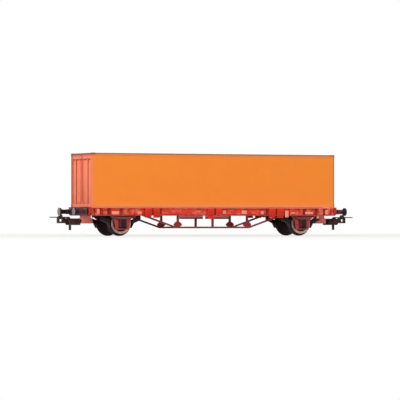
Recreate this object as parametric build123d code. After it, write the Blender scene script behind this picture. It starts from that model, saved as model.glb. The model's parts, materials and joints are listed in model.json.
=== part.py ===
from build123d import *

import os
from math import sqrt

# A 1:87 scale model of a two-axle flatcar that carries one plain-sided 40-foot container.
# X runs along the wagon, with the container's doors at -X. Y runs across it, Z is up.
# Z = 0 is where the wheel flanges touch a flat surface, and all sizes are in millimetres.
# Heights "above rail" are counted from the rail tops, where the treads stand.

# Wheels and axles
wheelbase = 104.0
tread_diameter = 11.0
flange_height = 1.1
flange_thickness = 1.1
flange_edge = 0.4
back_to_back = 14.4
wheel_width = 2.8
rim_depth = 1.15
disc_recess = 0.55
axle_diameter = 2.0
journal_diameter = 1.5
journal_clearance = 0.05
journal_end_wall = 0.25

# Underframe, its length counted from the axles and its width from the wheels
frame_overhang = 19.5
guard_wheel_gap = 1.5
deck_above_rail = 13.85
sill_height = 4.4
sill_flange_width = 2.0
sill_flange_thickness = 0.5
sill_web_thickness = 0.5
sill_channel_depth = 1.0
headstock_thickness = 1.6
headstock_corner = 1.4
centre_sill_width = 5.0
centre_sill_height = 2.2
centre_sill_wall = 0.7
keel_length = 13.0
keel_gap = 2.0
keel_depth = 1.7
keel_width = 1.6
cross_member_width = 1.6
cross_member_height = 1.2
ballast_axle_gap = 10.0
ballast_side_gap = 0.5
ballast_thickness = 1.5

# Truss inside each side sill, hung from the cross members
truss_sill_gap = 0.45
truss_bar = 0.9
truss_rod_above_rail = 3.3
truss_slope_length = 21.2
truss_knee_step = 1.1
post_width = 1.1
saddle_width = 4.4
saddle_top = 2.0
saddle_low = 0.6
saddle_high = 1.4
saddle_height = 2.5

# Axle guards, axle boxes and springs
guard_thickness = 0.6
guard_bottom_above_rail = 2.2
guard_top_length = 13.0
guard_top_depth = 0.6
guard_slot_width = 4.8
guard_slot_gap = 0.9
guard_leg_foot = 1.2
guard_leg_spread = 1.1
guard_tie_height = 0.6
axle_box_width = 3.4
axle_box_height = 4.0
axle_box_inner_depth = 0.3
axle_box_outer_depth = 1.3
axle_box_cover = 2.2
axle_box_cover_depth = 0.3
spring_length = 12.0
spring_width = 0.9
spring_end_thickness = 0.5
spring_stack = 1.0
spring_buckle_width = 1.6
spring_buckle_edge = 0.1
spring_hanger = 0.9

# Brake blocks
shoe_gap = 0.65
shoe_width = 1.6
shoe_thickness = 1.2
shoe_low = 2.5
shoe_high = 1.6
hanger_reach = 10.5
hanger_width = 1.3

# Buffers
buffer_length = 7.0
buffer_spacing = 20.12
buffer_above_rail = 11.5
buffer_head_diameter = 4.2
buffer_head_thickness = 1.7
buffer_head_rim = 0.9
buffer_sleeve_diameter = 2.4
buffer_base_width = 3.4
buffer_base_thickness = 0.5

# Couplers, with their lengths counted from the coupler's pivot
coupler_pivot_inset = 4.5
coupler_above_rail = 6.75
pocket_length = 5.8
pocket_front_inset = 0.8
pocket_wall = 0.6
pocket_neck_inset = 0.8
coupler_pin_diameter = 1.2
coupler_pin_clearance = 0.05
shank_height = 1.3
shank_width = 2.2
shank_clearance = 0.15
coupler_body_gap = 0.9
coupler_body_height = 2.5
coupler_body_width = 2.6
coupler_neck_height = 1.1
coupler_length = 16.4
head_plate_thickness = 0.8
head_plate_width = 2.0
hook_length = 5.6
hook_thickness = 1.0
hook_slot_length = 1.6
hook_slot_height = 1.2
hook_slot_drop = 0.35
bow_pivot_distance = 7.4
bow_length = 12.0
bow_width = 7.0
bow_bar = 0.5
bow_rise = 1.85
bow_bridge_drop = 2.2
bow_heel_length = 2.4
bow_cheek_length = 2.7
bow_cheek_rise = 1.0
bow_pin_diameter = 0.8
bow_pin_clearance = 0.05
trip_pin_distance = 2.0
trip_pin_width = 1.0
trip_pin_drop = 4.85

# Load pins on the deck, and the fold-down load brackets in the side sills
load_pin_end_inset = 1.17
load_pin_side_inset = 1.015
load_pin_width = 0.9
load_pin_height = 0.8
load_pin_taper = 0.2
load_pin_clearance = 0.15
bracket_width = 3.5
bracket_slot = 1.3
bracket_proud = 0.4
bracket_drop = 1.1
centre_bracket_drop = 1.6
bracket_tuck = 0.7
outer_bracket_inset = 34.2
rib_depth = 0.8
slot_back_thickness = 0.4
slot_back_edge = 0.4

# Container, 140.1 long and 28.0 wide: it stops short of the frame's ends and overhangs its sides
container_end_inset = 1.45
container_overhang = 0.5
container_height = 28.0
container_wall = 1.1
container_floor_thickness = 1.5
container_roof_thickness = 1.2
roof_recess = 0.25
panel_inset = 0.1
base_rail_height = 1.4
casting_length = 2.05
casting_width = 1.9
casting_height = 1.4
casting_proud = 0.1
casting_hole_length = 0.9
casting_hole_width = 0.6
casting_hole_depth = 0.3
end_header_height = 1.4
end_sill_height = 1.7
door_header_height = 3.0
door_recess = 0.45
door_leaf_thickness = 0.2
door_seam = 0.3
door_edge_gap = 0.25
door_hinges = 3
door_hinge_width = 1.0
door_hinge_height = 0.7
lock_rod_width = 0.45
lock_rod_inner = 2.2
lock_rod_outer = 7.8
lock_cam_width = 0.9
lock_cam_height = 0.8
lock_handle_length = 2.4
lock_handle_thickness = 0.45
lock_handle_low = 5.5
lock_handle_high = 7.4

# Upright ribs in the side sills' channels, at both ends: distance from the sill's end, width
SILL_RIBS = (
    (0.6, 0.9),
    (3.1, 1.6),
    (7.7, 2.2),
    (19.3, 1.5),
    (25.3, 1.2),
)

# Slots in the side sills' webs, at both ends: distance from the sill's end, width
SILL_SLOTS = (
    (5.3, 1.0),
    (10.1, 1.9),
    (17.0, 2.0),
    (39.2, 1.3),
)

# The hook's rounded nose: distance behind the coupler's front, height above the shank's middle
HOOK_NOSE = (
    (0.0, 1.5),
    (0.3, 2.1),
    (0.9, 2.7),
    (1.6, 3.1),
    (2.6, 3.1),
    (2.9, 1.25),
)

# Heights and places that follow from the sizes above
rail_z = flange_height
axle_z = rail_z + tread_diameter / 2
deck_z = rail_z + deck_above_rail
sill_bottom_z = deck_z - sill_height
channel_low = sill_bottom_z + sill_flange_thickness
channel_high = deck_z - sill_flange_thickness
beam_top_z = sill_bottom_z + centre_sill_height
wheel_inner_y = back_to_back / 2
wheel_outer_y = wheel_inner_y + wheel_width
axle_x = wheelbase / 2
frame_end = axle_x + frame_overhang
sill_end = frame_end - headstock_thickness
sill_inner_y = wheel_outer_y + guard_wheel_gap
frame_side = sill_inner_y + sill_flange_width
sill_web_outer_y = frame_side - sill_channel_depth
sill_web_inner_y = sill_web_outer_y - sill_web_thickness
truss_top_z = beam_top_z - cross_member_height
truss_outer_y = sill_inner_y - truss_sill_gap
truss_inner_y = truss_outer_y - truss_bar
truss_rod_z = rail_z + truss_rod_above_rail
truss_reach = axle_x - hanger_reach + cross_member_width / 2
truss_knee_x = truss_reach - truss_slope_length
truss_post_x = truss_knee_x - truss_knee_step
guard_inner_y = sill_inner_y
guard_outer_y = guard_inner_y + guard_thickness
axle_box_top_z = axle_z + axle_box_height / 2
axle_box_outer_y = guard_outer_y + axle_box_outer_depth
journal_end_y = axle_box_outer_y - journal_end_wall
shank_z = rail_z + coupler_above_rail
coupler_pivot_x = frame_end - coupler_pivot_inset
bow_pivot_x = coupler_pivot_x + bow_pivot_distance
trip_pin_x = bow_pivot_x + trip_pin_distance
pocket_front_x = frame_end - pocket_front_inset

half_length = frame_end - container_end_inset
half_width = frame_side + container_overhang
top_z = deck_z + container_height
post_x = half_length - casting_length
post_y = half_width - casting_width
end_x = half_length - casting_proud
wall_outer_y = half_width - casting_proud
wall_inner_y = wall_outer_y - container_wall
floor_z = deck_z + casting_proud
roof_z = top_z - casting_proud
roof_under_z = roof_z - container_roof_thickness
door_low = floor_z + end_sill_height
door_high = roof_z - door_header_height

SIDES = (("front", -1), ("back", 1))
ENDS = (("left", -1), ("right", 1))


def block(x0, x1, y0, y1, z0, z1):
    """A box between two corners, whichever way round they are given."""
    size = (abs(x1 - x0), abs(y1 - y0), abs(z1 - z0))
    return Pos((x0 + x1) / 2, (y0 + y1) / 2, (z0 + z1) / 2) * Box(*size)


def slab(points, y0, y1):
    """An outline given as (x, z) points, made solid between y0 and y1."""
    outline = Plane.XZ * make_face(Polyline(*points, close=True))
    return Pos(0, min(y0, y1), 0) * extrude(outline, amount=-abs(y1 - y0))


def strip(points, x0, x1):
    """An outline given as (y, z) points, made solid between x0 and x1."""
    place = Plane(origin=(min(x0, x1), 0, 0), x_dir=(0, 1, 0), z_dir=(1, 0, 0))
    return extrude(place * make_face(Polyline(*points, close=True)), amount=abs(x1 - x0))


def rod(start, end, diameter):
    """A round bar from one point to another."""
    path = Vector(*end) - Vector(*start)
    place = Plane(origin=start, z_dir=path)
    return place * Cylinder(diameter / 2, path.length, align=(Align.CENTER, Align.CENTER, Align.MIN))


def cut(shape, tools):
    """Takes each tool out of the shape."""
    for tool in tools:
        shape = shape - tool
    return shape


def mirrored(shape, side, end):
    """Puts a piece made for +X and +Y at the given side and end."""
    if side < 0:
        shape = mirror(shape, about=Plane.XZ)
    if end < 0:
        shape = mirror(shape, about=Plane.YZ)
    return shape


def both_sides(shape, end):
    """A piece made for +X and +Y, at one end of the wagon and on both its sides."""
    return [mirrored(shape, side, end) for _, side in SIDES]


def save(name, *shapes):
    """Writes the solids of one sub-part, which don't touch each other, to its file."""
    solids = [solid for shape in shapes for solid in shape.solids()]
    whole = solids[0] if len(solids) == 1 else Compound(children=solids)
    export_step(whole, f"parts/{name}.step")


def side_sill():
    """An I-beam between the headstocks, with ribs in its channel and slots with a back wall in its web."""
    sill = block(-sill_end, sill_end, sill_web_inner_y, sill_web_outer_y, sill_bottom_z, deck_z)
    sill += block(-sill_end, sill_end, sill_inner_y, frame_side, sill_bottom_z, channel_low)
    sill += block(-sill_end, sill_end, sill_inner_y, frame_side, channel_high, deck_z)
    for _, end in ENDS:
        for inset, width in SILL_RIBS:
            x = end * (sill_end - inset)
            sill += block(x - width / 2, x + width / 2, sill_web_inner_y, sill_web_outer_y + rib_depth,
                          channel_low, channel_high)
        for inset, width in SILL_SLOTS:
            x = end * (sill_end - inset)
            sill -= block(x - width / 2, x + width / 2, sill_web_inner_y, sill_web_outer_y,
                          channel_low, channel_high)
            half = width / 2 + slot_back_edge
            sill += block(x - half, x + half, sill_web_inner_y - slot_back_thickness, sill_web_inner_y,
                          channel_low, channel_high)
    return sill


def headstock():
    """The cross beam at one end, with its lower corners cut away."""
    corner_y = frame_side - headstock_corner
    corner_z = sill_bottom_z + headstock_corner
    half = [(corner_y, sill_bottom_z), (frame_side, corner_z), (frame_side, deck_z)]
    outline = half + [(-y, z) for y, z in reversed(half)]
    return strip(outline, sill_end, frame_end)


def centre_sill():
    """An upturned channel along the middle, with a keel under it each side of the centre."""
    half = centre_sill_width / 2
    inner = half - centre_sill_wall
    under_z = beam_top_z - centre_sill_wall
    beam = block(-sill_end, sill_end, -half, half, sill_bottom_z, beam_top_z)
    beam -= block(-sill_end, sill_end, -inner, inner, sill_bottom_z, under_z)
    for _, end in ENDS:
        start = end * keel_gap / 2
        beam += block(start, start + end * keel_length, -keel_width / 2, keel_width / 2,
                      sill_bottom_z - keel_depth, beam_top_z)
    return beam


def cross_members():
    """Short beams between the centre sill and the side sills' webs."""
    places = {0.0}
    for place in (truss_post_x, axle_x - hanger_reach, axle_x + hanger_reach):
        places.update((-place, place))
    beams = []
    for x in sorted(places):
        for _, side in SIDES:
            beams.append(block(x - cross_member_width / 2, x + cross_member_width / 2,
                               side * centre_sill_width / 2, side * sill_web_inner_y,
                               truss_top_z, beam_top_z))
    return beams


def ballast_plate():
    """A plain steel plate that lies on the cross members."""
    length = axle_x - ballast_axle_gap
    width = sill_inner_y - ballast_side_gap
    return block(-length, length, -width, width, beam_top_z, beam_top_z + ballast_thickness)


def truss_rods():
    """The lower rod and the two sloping rods of one truss, as one bent bar."""
    half = truss_bar / 2
    rise = truss_top_z - truss_rod_z
    slope = sqrt(rise ** 2 + (truss_reach - truss_knee_x) ** 2)
    foot = half * slope / rise
    right = [(truss_knee_x, truss_rod_z - half), (truss_reach + foot, truss_top_z),
             (truss_reach - foot, truss_top_z), (truss_knee_x, truss_rod_z + half)]
    left = [(-x, z) for x, z in reversed(right)]
    return slab(right + left, truss_inner_y, truss_outer_y)


def truss_posts():
    """Three posts from the cross members to the lower rod, the outer two on a six-sided saddle."""
    seat = truss_rod_z + truss_bar / 2
    half = saddle_width / 2
    posts = []
    for x in (-truss_post_x, 0.0, truss_post_x):
        post = block(x - post_width / 2, x + post_width / 2, truss_inner_y, truss_outer_y,
                     seat, truss_top_z)
        if x:
            right = [(truss_knee_step, seat), (half, seat + saddle_low), (half, seat + saddle_high),
                     (saddle_top / 2, seat + saddle_height)]
            saddle = right + [(-dx, z) for dx, z in reversed(right)]
            post += slab([(x + dx, z) for dx, z in saddle], truss_inner_y, truss_outer_y)
        posts.append(post)
    return posts


def axle_guard():
    """A plate under the side sill with two tapered legs and a tie between their feet."""
    bottom = rail_z + guard_bottom_above_rail
    slot = guard_slot_width / 2
    top = guard_top_length / 2
    foot = slot + guard_leg_foot
    right = [(foot, bottom), (foot + guard_leg_spread, axle_box_top_z),
             (top, sill_bottom_z - guard_top_depth), (top, sill_bottom_z)]
    outline = right + [(-x, z) for x, z in reversed(right)]
    plate = slab(outline, guard_inner_y, guard_outer_y)
    plate -= block(-slot, slot, guard_inner_y, guard_outer_y,
                   bottom + guard_tie_height, sill_bottom_z - guard_slot_gap)
    return Pos(axle_x, 0, 0) * plate


def axle_box():
    """The bearing box in the slot of its guard, with the blind hole that the journal turns in."""
    low = axle_z - axle_box_height / 2
    inner = guard_inner_y - axle_box_inner_depth
    box = block(-guard_slot_width / 2, guard_slot_width / 2, guard_inner_y, guard_outer_y,
                low, axle_box_top_z)
    box += block(-axle_box_width / 2, axle_box_width / 2, inner, axle_box_outer_y, low, axle_box_top_z)
    cover = axle_box_cover / 2
    box += block(-cover, cover, axle_box_outer_y, axle_box_outer_y + axle_box_cover_depth,
                 axle_z - cover, axle_z + cover)
    bore_end = journal_end_y + journal_clearance
    box -= rod((0, inner, axle_z), (0, bore_end, axle_z), journal_diameter + 2 * journal_clearance)
    return Pos(axle_x, 0, 0) * box


def leaf_spring():
    """A stack of leaves on the axle box, thinner towards the hangers under the side sill."""
    half = spring_length / 2
    y0 = guard_outer_y + (axle_box_outer_depth - spring_width) / 2
    y1 = y0 + spring_width
    end_high = sill_bottom_z - spring_hanger / 2
    end_low = end_high - spring_end_thickness
    stack_high = axle_box_top_z + spring_stack
    lower = ThreePointArc((-half, end_low), (0, axle_box_top_z), (half, end_low))
    upper = ThreePointArc((half, end_high), (0, stack_high), (-half, end_high))
    right = Line((half, end_low), (half, end_high))
    left = Line((-half, end_high), (-half, end_low))
    outline = Plane.XZ * make_face([lower, right, upper, left])
    spring = Pos(0, y0, 0) * extrude(outline, amount=-spring_width)
    for _, end in ENDS:
        spring += block(end * half, end * (half + spring_hanger), y0, y1, end_low, sill_bottom_z)
    spring += block(-spring_buckle_width / 2, spring_buckle_width / 2, y0 - spring_buckle_edge,
                    y1 + spring_buckle_edge, axle_box_top_z, stack_high + spring_buckle_edge)
    return Pos(axle_x, 0, 0) * spring


def brake_block(facing):
    """One brake block beside the tread, with the hanger that carries it from a cross member."""
    radius = tread_diameter / 2 + shoe_gap
    low_x = sqrt(radius ** 2 - shoe_low ** 2)
    high_x = sqrt(radius ** 2 - shoe_high ** 2)
    hanger_in = hanger_reach - hanger_width / 2
    hanger_out = hanger_reach + hanger_width / 2
    face = ThreePointArc((low_x, axle_z - shoe_low), (radius, axle_z), (high_x, axle_z + shoe_high))
    back = Polyline((high_x, axle_z + shoe_high), (hanger_in, axle_z + 2 * shoe_high),
                    (hanger_in, truss_top_z), (hanger_out, truss_top_z), (hanger_out, axle_z + shoe_high),
                    (radius + shoe_thickness, axle_z), (low_x + shoe_thickness / 3, axle_z - shoe_low),
                    (low_x, axle_z - shoe_low))
    outline = Plane.XZ * make_face([face, back])
    shoe = Pos(0, wheel_outer_y - shoe_width, 0) * extrude(outline, amount=-shoe_width)
    return Pos(axle_x, 0, 0) * mirrored(shoe, 1, facing)


def wheel():
    """One wheel with its flange, tread, rim and thin disc, turned about the axle."""
    tread = tread_diameter / 2
    flange = tread + flange_height
    rim = tread - rim_depth
    bore = axle_diameter / 2
    disc_y = wheel_outer_y - disc_recess
    profile = [
        (bore, wheel_inner_y), (flange, wheel_inner_y), (flange, wheel_inner_y + flange_edge),
        (tread, wheel_inner_y + flange_thickness), (tread, wheel_outer_y), (rim, wheel_outer_y),
        (rim, disc_y), (bore, disc_y),
    ]
    return Pos(axle_x, 0, axle_z) * revolve(make_face(Polyline(*profile, close=True)), Axis.Y)


def axle():
    """The axle, with a thinner journal at each end."""
    whole = rod((axle_x, -wheel_outer_y, axle_z), (axle_x, wheel_outer_y, axle_z), axle_diameter)
    for _, side in SIDES:
        whole += rod((axle_x, side * wheel_inner_y, axle_z), (axle_x, side * journal_end_y, axle_z),
                     journal_diameter)
    return whole


def buffer():
    """A buffer with its square base, round sleeve and thick head that is coned behind."""
    half = buffer_base_width / 2
    plate_x = frame_end + buffer_base_thickness
    head_x = frame_end + buffer_length
    head = buffer_head_diameter / 2
    sleeve = buffer_sleeve_diameter / 2
    profile = [
        (plate_x, 0), (plate_x, sleeve), (head_x - buffer_head_thickness, sleeve),
        (head_x - buffer_head_rim, head), (head_x, head), (head_x, 0),
    ]
    whole = revolve(make_face(Polyline(*profile, close=True)), Axis.X)
    whole += block(frame_end, plate_x, -half, half, -half, half)
    return Pos(0, buffer_spacing / 2, rail_z + buffer_above_rail) * whole


def coupler_pocket():
    """An open-ended box under the centre sill, with the pin that the coupler swings on."""
    back_x = pocket_front_x - pocket_length
    half = centre_sill_width / 2
    inner_low = shank_z - shank_height / 2 - shank_clearance
    inner_high = shank_z + shank_height / 2 + shank_clearance
    shell = block(back_x, pocket_front_x, -half, half, inner_low - pocket_wall, inner_high + pocket_wall)
    shell += block(back_x + pocket_neck_inset, pocket_front_x - pocket_neck_inset, -half, half,
                   inner_high, sill_bottom_z)
    shell -= block(back_x + pocket_wall, pocket_front_x, pocket_wall - half, half - pocket_wall,
                   inner_low, inner_high)
    shell += rod((coupler_pivot_x, 0, inner_low), (coupler_pivot_x, 0, inner_high), coupler_pin_diameter)
    return shell


def coupler():
    """The shank in the pocket, the body with the bow's pivot, and the hook behind its front plate."""
    half = shank_width / 2
    body_x = pocket_front_x + coupler_body_gap
    neck_x = bow_pivot_x + bow_pin_diameter
    front_x = coupler_pivot_x + coupler_length
    plate_x = front_x - head_plate_thickness
    hook_x = front_x - hook_length
    shank_low = shank_z - shank_height / 2
    shank_high = shank_z + shank_height / 2
    low = shank_z - coupler_body_height / 2
    high = shank_z + coupler_body_height / 2
    neck_low = shank_z - coupler_neck_height / 2
    side_y = coupler_body_width / 2
    shape = block(coupler_pivot_x, body_x, -half, half, shank_low, shank_high)
    shape += rod((coupler_pivot_x, 0, shank_low), (coupler_pivot_x, 0, shank_high), shank_width)
    shape -= rod((coupler_pivot_x, 0, shank_low), (coupler_pivot_x, 0, shank_high),
                 coupler_pin_diameter + 2 * coupler_pin_clearance)
    shape += block(body_x, neck_x, -side_y, side_y, low, high)
    shape += block(neck_x, hook_x, -side_y, side_y, neck_low, high)
    shape -= rod((bow_pivot_x, -side_y, shank_z), (bow_pivot_x, side_y, shank_z),
                 bow_pin_diameter + 2 * bow_pin_clearance)
    nose = [(front_x - back, shank_z + up) for back, up in HOOK_NOSE]
    outline = [(hook_x, high), (hook_x, low), (front_x, low)] + nose
    shape += slab(outline, -hook_thickness / 2, hook_thickness / 2)
    shape += block(plate_x, front_x, -head_plate_width / 2, head_plate_width / 2, low, nose[0][1])
    slot_low = shank_z - hook_slot_drop
    shape -= block(plate_x - hook_slot_length, plate_x, -hook_thickness, hook_thickness,
                   slot_low, slot_low + hook_slot_height)
    return shape


def coupler_bow():
    """The loop that drops over the next wagon's hook, with its pivot pin and the trip pin."""
    half = bow_width / 2
    inner = half - bow_bar
    bow_low = shank_z + bow_rise - bow_bar / 2
    bow_high = bow_low + bow_bar
    bridge_z = shank_z - bow_bridge_drop
    reach = bow_pivot_x + bow_length
    heel = bow_pivot_x - bow_heel_length
    cheek = bow_pivot_x + bow_cheek_length
    cheek_z = shank_z + bow_cheek_rise
    outline = [
        (heel, bridge_z), (cheek, bridge_z), (cheek + bow_cheek_length, bow_low), (reach, bow_low),
        (reach, bow_high), (cheek + bow_cheek_rise, bow_high), (cheek, cheek_z), (heel, cheek_z),
    ]
    shape = block(reach - bow_bar, reach, -half, half, bow_low, bow_high)
    for _, side in SIDES:
        shape += slab(outline, side * inner, side * half)
        shape += rod((bow_pivot_x, side * half, shank_z), (bow_pivot_x, 0, shank_z), bow_pin_diameter)
    pin = trip_pin_width / 2
    shape += block(trip_pin_x - pin, trip_pin_x + pin, -inner, inner, bridge_z, bridge_z + bow_bar)
    shape += block(trip_pin_x - pin, trip_pin_x + pin, -pin, pin, shank_z - trip_pin_drop, bridge_z)
    return shape


def load_pin_places():
    """The four places where the container stands on the frame."""
    x = half_length - load_pin_end_inset
    y = half_width - load_pin_side_inset
    return [(end * x, side * y) for _, end in ENDS for _, side in SIDES]


def load_pins():
    """Four short tapered pins on top of the frame that hold the container's corners."""
    pins = []
    for x, y in load_pin_places():
        pin = Pos(x, y, deck_z + load_pin_height / 2) * Box(load_pin_width, load_pin_width, load_pin_height)
        pins.append(chamfer(pin.faces().sort_by(Axis.Z)[-1].edges(), load_pin_taper))
    return pins


def load_pin_holes():
    """The holes in the container's corner castings that the load pins enter."""
    width = load_pin_width + 2 * load_pin_clearance
    height = load_pin_height + load_pin_clearance
    return [Pos(x, y, deck_z + height / 2) * Box(width, width, height) for x, y in load_pin_places()]


def load_bracket(x, tuck, drop):
    """A fold-down bracket in the side sill's channel, with its foot hanging below the sill."""
    x0 = x - bracket_width / 2
    x1 = x + bracket_width / 2
    face = frame_side + bracket_proud
    profile = [(frame_side, channel_high), (face, channel_high), (face, sill_bottom_z)]
    if drop:
        foot = sill_bottom_z - drop
        profile += [(face - tuck, foot), (frame_side - tuck, foot)]
    profile.append((frame_side, sill_bottom_z))
    return block(x0, x1, sill_web_outer_y, frame_side, channel_low, channel_high) + strip(profile, x0, x1)


def load_brackets():
    """A pair of brackets in the middle of the side sill and one pair towards each end."""
    step = (bracket_width + bracket_slot) / 2
    outer = sill_end - outer_bracket_inset
    brackets = []
    for middle in (-outer, outer):
        brackets.append(load_bracket(middle - step, bracket_tuck, bracket_drop))
        brackets.append(load_bracket(middle + step, bracket_tuck, bracket_drop))
    brackets.append(load_bracket(-step, 0.0, centre_bracket_drop))
    brackets.append(load_bracket(step, 0.0, 0.0))
    return brackets


def corner_casting(side, z0):
    """One corner casting at +X, with a hole in its side, its end and, on the roof, its top."""
    y0 = side * post_y
    y1 = side * half_width
    long = casting_hole_length / 2
    short = casting_hole_width / 2
    middle_x = post_x + casting_length / 2
    middle_y = (y0 + y1) / 2
    middle_z = z0 + casting_height / 2
    casting = block(post_x, half_length, y0, y1, z0, z0 + casting_height)
    casting -= block(middle_x - long, middle_x + long, y1, y1 - side * casting_hole_depth,
                     middle_z - short, middle_z + short)
    casting -= block(half_length - casting_hole_depth, half_length, middle_y - short, middle_y + short,
                     middle_z - short, middle_z + short)
    if z0 > deck_z:
        casting -= block(middle_x - long, middle_x + long, middle_y - short, middle_y + short,
                         top_z - casting_hole_depth, top_z)
    return casting


def end_frame(header_height, recess):
    """Two corner posts with their castings, a header, a sill and the panel between them, at +X."""
    panel_x = end_x - container_wall
    frame = block(panel_x, end_x - recess, -post_y, post_y, floor_z, roof_z)
    frame += block(post_x, end_x, -post_y, post_y, floor_z, floor_z + end_sill_height)
    frame += block(post_x, end_x, -post_y, post_y, roof_under_z, roof_z)
    frame += block(panel_x, end_x, -post_y, post_y, roof_z - header_height, roof_z)
    for _, side in SIDES:
        frame += block(post_x, end_x, side * post_y, side * wall_outer_y, floor_z, roof_z)
        frame += corner_casting(side, deck_z)
        frame += corner_casting(side, top_z - casting_height)
    return frame


def container_end():
    """The plain end wall in its frame."""
    return end_frame(end_header_height, panel_inset)


def container_doors():
    """The door end: the same frame with two leaves set back in it, their seam and their hinges."""
    back_x = end_x - door_recess - door_leaf_thickness
    leaf_x = end_x - door_recess
    frame = end_frame(door_header_height, door_recess + door_leaf_thickness)
    for _, side in SIDES:
        frame += block(back_x, leaf_x, side * door_seam / 2, side * (post_y - door_edge_gap),
                       door_low + door_edge_gap, door_high - door_edge_gap)
        for step in range(door_hinges):
            z = door_low + (door_high - door_low) * (step + 0.5) / door_hinges
            frame += block(back_x, end_x - door_recess / 2, side * (post_y - door_hinge_width), side * post_y,
                           z - door_hinge_height / 2, z + door_hinge_height / 2)
    return frame


def lock_rods():
    """Four upright lock bars on the door leaves at +X, each with its cams and handle."""
    face_x = end_x - door_recess
    rod_x = face_x + lock_rod_width
    half = lock_rod_width / 2
    cam_step = door_edge_gap + lock_cam_height / 2
    rods = []
    for _, side in SIDES:
        for place, handle_height in ((lock_rod_inner, lock_handle_high), (lock_rod_outer, lock_handle_low)):
            y = side * place
            lock = block(face_x, rod_x, y - half, y + half, door_low, door_high)
            for cam_z in (door_low + cam_step, door_high - cam_step):
                lock += block(face_x, rod_x, y - lock_cam_width / 2, y + lock_cam_width / 2,
                              cam_z - lock_cam_height / 2, cam_z + lock_cam_height / 2)
            z = deck_z + handle_height
            lock += block(face_x, rod_x, y, y + side * lock_handle_length,
                          z - lock_handle_thickness / 2, z + lock_handle_thickness / 2)
            rods.append(lock)
    return rods


def container_side():
    """One side wall: a plain panel a little behind its base rail."""
    wall = block(-post_x, post_x, wall_inner_y, wall_outer_y - panel_inset, floor_z, roof_under_z)
    return wall + block(-post_x, post_x, wall_inner_y, wall_outer_y, floor_z, floor_z + base_rail_height)


def container_floor():
    """The floor between the side walls."""
    return block(-post_x, post_x, -wall_inner_y, wall_inner_y, floor_z, floor_z + container_floor_thickness)


def container_roof():
    """The roof panel between its slightly higher side rails."""
    inner_x = post_x - container_wall
    roof = block(-post_x, post_x, -wall_outer_y, wall_outer_y, roof_under_z, roof_z)
    return roof - block(-inner_x, inner_x, -wall_inner_y, wall_inner_y, roof_z - roof_recess, roof_z)


os.makedirs("parts", exist_ok=True)

for side_name, side in SIDES:
    save(f"side_sill_{side_name}", mirrored(side_sill(), side, 1))
    save(f"truss_rods_{side_name}", mirrored(truss_rods(), side, 1))
    save(f"truss_posts_{side_name}", *[mirrored(post, side, 1) for post in truss_posts()])
    save(f"load_brackets_{side_name}", *[mirrored(bracket, side, 1) for bracket in load_brackets()])
    save(f"container_side_{side_name}", mirrored(container_side(), side, 1))

for end_name, end in ENDS:
    save(f"headstock_{end_name}", mirrored(headstock(), 1, end))
    save(f"axle_guards_{end_name}", *both_sides(axle_guard(), end))
    save(f"axle_boxes_{end_name}", *both_sides(axle_box(), end))
    save(f"leaf_springs_{end_name}", *both_sides(leaf_spring(), end))
    save(f"brake_blocks_{end_name}", *both_sides(brake_block(-1), end), *both_sides(brake_block(1), end))
    save(f"buffers_{end_name}", *both_sides(buffer(), end))
    save(f"coupler_pocket_{end_name}", mirrored(coupler_pocket(), 1, end))
    save(f"coupler_{end_name}", mirrored(coupler(), 1, end))
    save(f"coupler_bow_{end_name}", mirrored(coupler_bow(), 1, end))
    save(f"axle_{end_name}", mirrored(axle(), 1, end))
    for side_name, side in SIDES:
        save(f"wheel_{end_name}_{side_name}", mirrored(wheel(), side, end))

save("centre_sill", centre_sill())
save("cross_members", *cross_members())
save("ballast_plate", ballast_plate())
save("load_pins", *load_pins())
save("container_floor", container_floor())
save("container_roof", container_roof())
save("container_end", cut(container_end(), load_pin_holes()))
save("container_doors", mirrored(cut(container_doors(), load_pin_holes()), 1, -1))
save("door_lock_rods", *[mirrored(lock, 1, -1) for lock in lock_rods()])
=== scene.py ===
"""Looks for a 1:87 scale model of a two-axle container flatcar, built around its CAD frame.

X runs along the wagon with the container's doors at -X, Y across it with the photograph's side at -Y, and
Z up from the rails. Sizes and places on the wagon are in millimetres, and become metres through MM. The
stage, the lamps and the camera are in metres.
"""

import json
import math

import bmesh
import bpy
from mathutils import Matrix, Vector


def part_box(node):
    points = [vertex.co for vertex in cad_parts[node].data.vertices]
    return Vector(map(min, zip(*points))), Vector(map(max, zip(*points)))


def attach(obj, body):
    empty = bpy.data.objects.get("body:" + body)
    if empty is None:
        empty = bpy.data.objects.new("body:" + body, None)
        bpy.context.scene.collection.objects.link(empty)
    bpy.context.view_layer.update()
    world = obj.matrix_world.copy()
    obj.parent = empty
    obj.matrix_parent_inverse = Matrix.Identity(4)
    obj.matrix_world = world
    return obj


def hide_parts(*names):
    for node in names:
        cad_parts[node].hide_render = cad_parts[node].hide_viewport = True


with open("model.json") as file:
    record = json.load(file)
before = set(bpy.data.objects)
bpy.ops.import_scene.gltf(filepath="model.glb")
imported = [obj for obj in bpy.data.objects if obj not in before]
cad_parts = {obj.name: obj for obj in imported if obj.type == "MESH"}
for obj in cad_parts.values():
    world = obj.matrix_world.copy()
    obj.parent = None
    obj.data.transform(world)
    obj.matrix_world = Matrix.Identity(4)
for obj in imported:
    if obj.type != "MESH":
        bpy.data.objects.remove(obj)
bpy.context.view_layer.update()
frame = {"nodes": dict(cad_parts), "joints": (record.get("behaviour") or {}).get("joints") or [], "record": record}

MM = 0.001
SIDES = {"front": -1, "back": 1}
ENDS = {"left": -1, "right": 1}


# Places on the wagon, read off the frame in millimetres


def span(node, axis):
    """Where a CAD node starts and ends along one axis."""
    return [round(corner["XYZ".index(axis)] / MM, 3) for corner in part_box(node)]


def place_of(rows, name):
    """The place of one of the frame's joints or mounts."""
    row = next(row for row in rows if row["name"] == name)
    return [round(value / MM, 3) for value in row["pos_m"]]


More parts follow.
